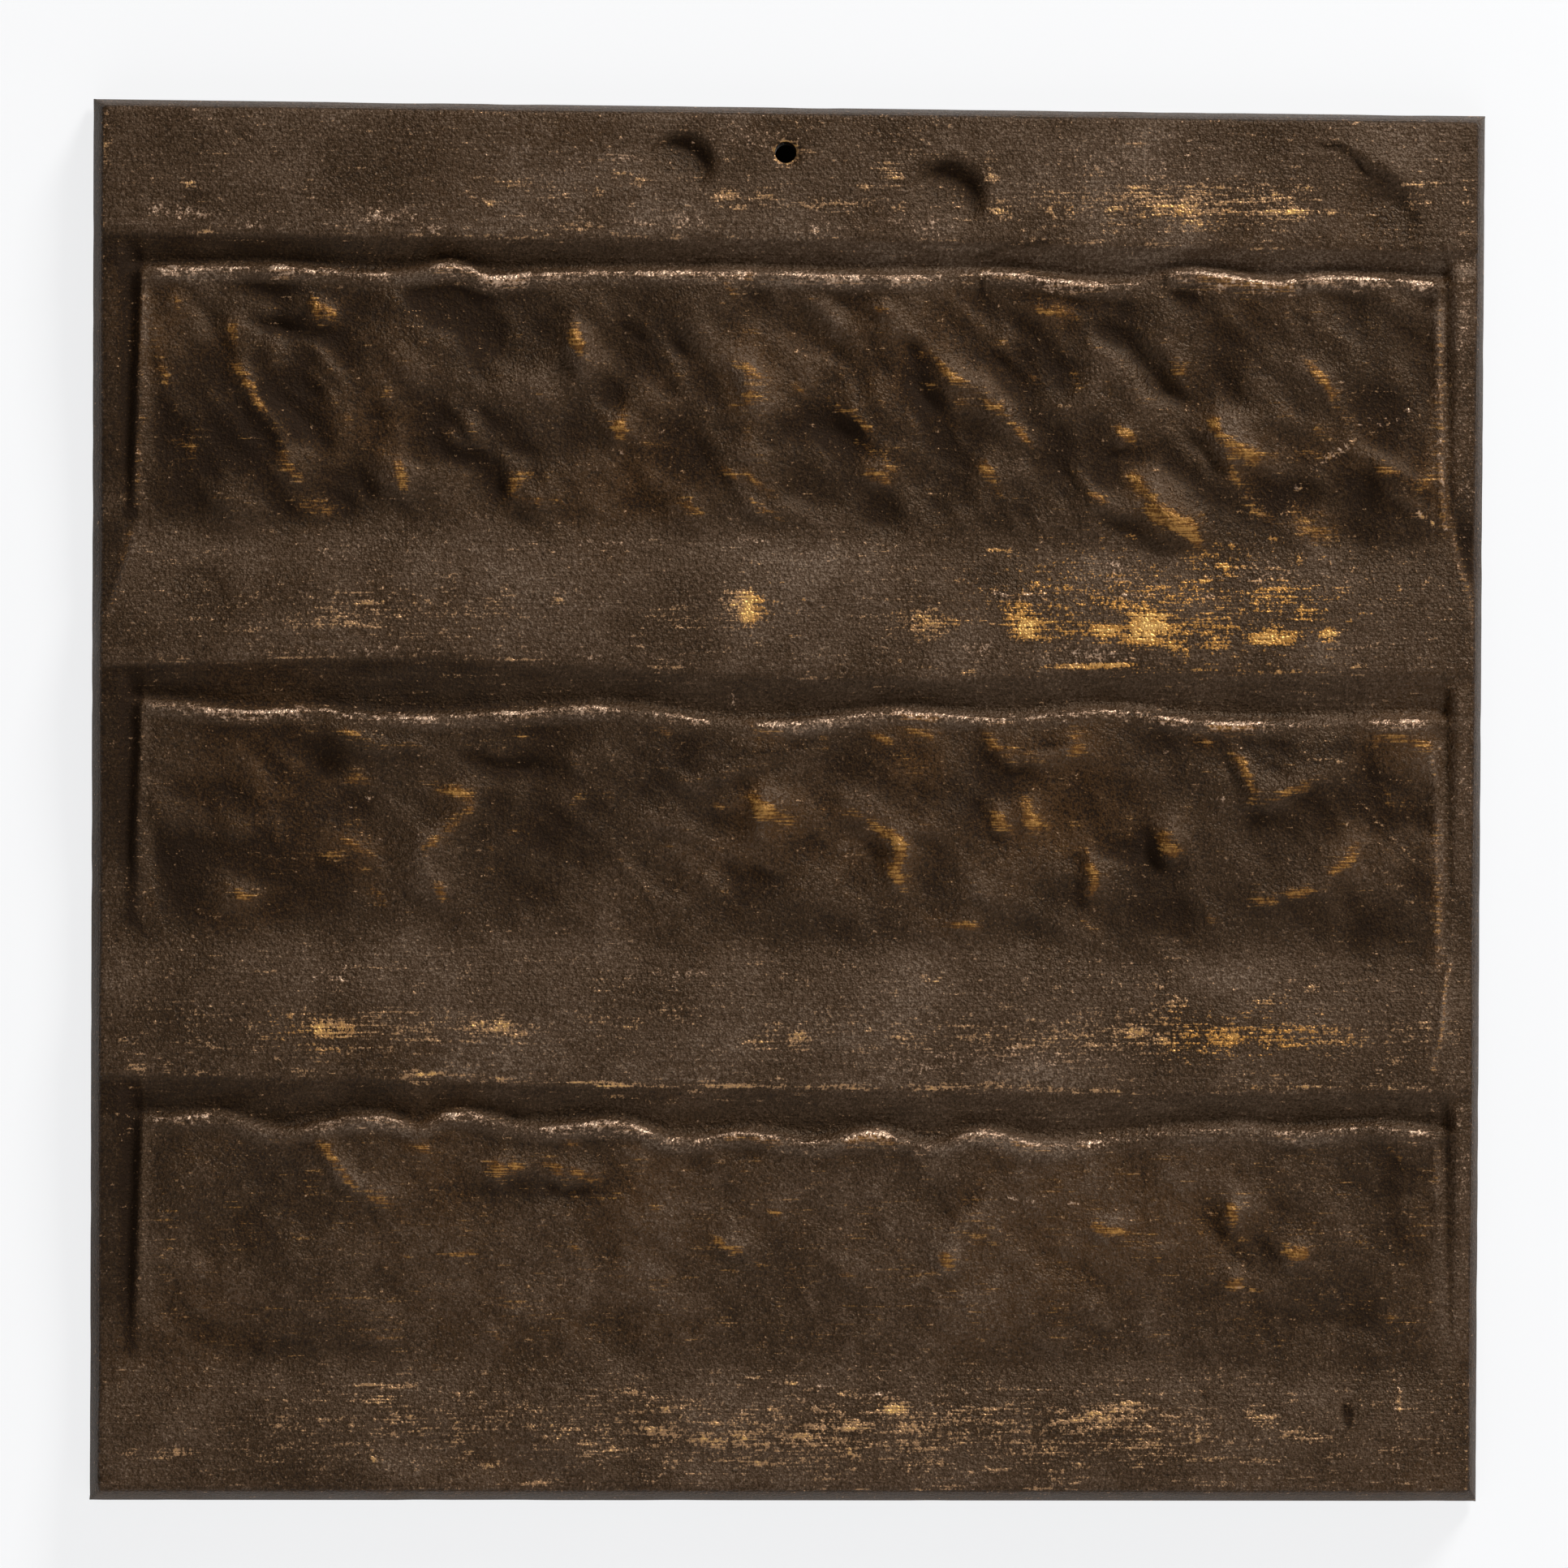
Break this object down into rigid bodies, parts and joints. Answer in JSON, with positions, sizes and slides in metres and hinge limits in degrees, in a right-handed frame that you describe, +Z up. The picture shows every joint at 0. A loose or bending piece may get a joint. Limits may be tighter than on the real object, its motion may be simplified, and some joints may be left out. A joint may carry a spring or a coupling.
{
  "type": "relief plaque",
  "caption": "Square cast bronze wall relief with three tiers of crumpled, sunk fields under smooth bands, and a small hanging hole at the top.",
  "frame": {"origin": "centre of the flat back, where the plaque meets the wall", "axes": "+X to the right and +Z up as seen from the front; +Y points out of the back, into the wall, so the relief faces -Y"},
  "size_m": [0.2522, 0.0099, 0.2534],
  "materials": {
    "patinated_bronze": "dark brown patina over cast bronze, rubbed through to golden metal on the high places"
  },
  "bodies": {
    "root": {"relief_plate": "patinated_bronze"}
  },
  "joints": []
}
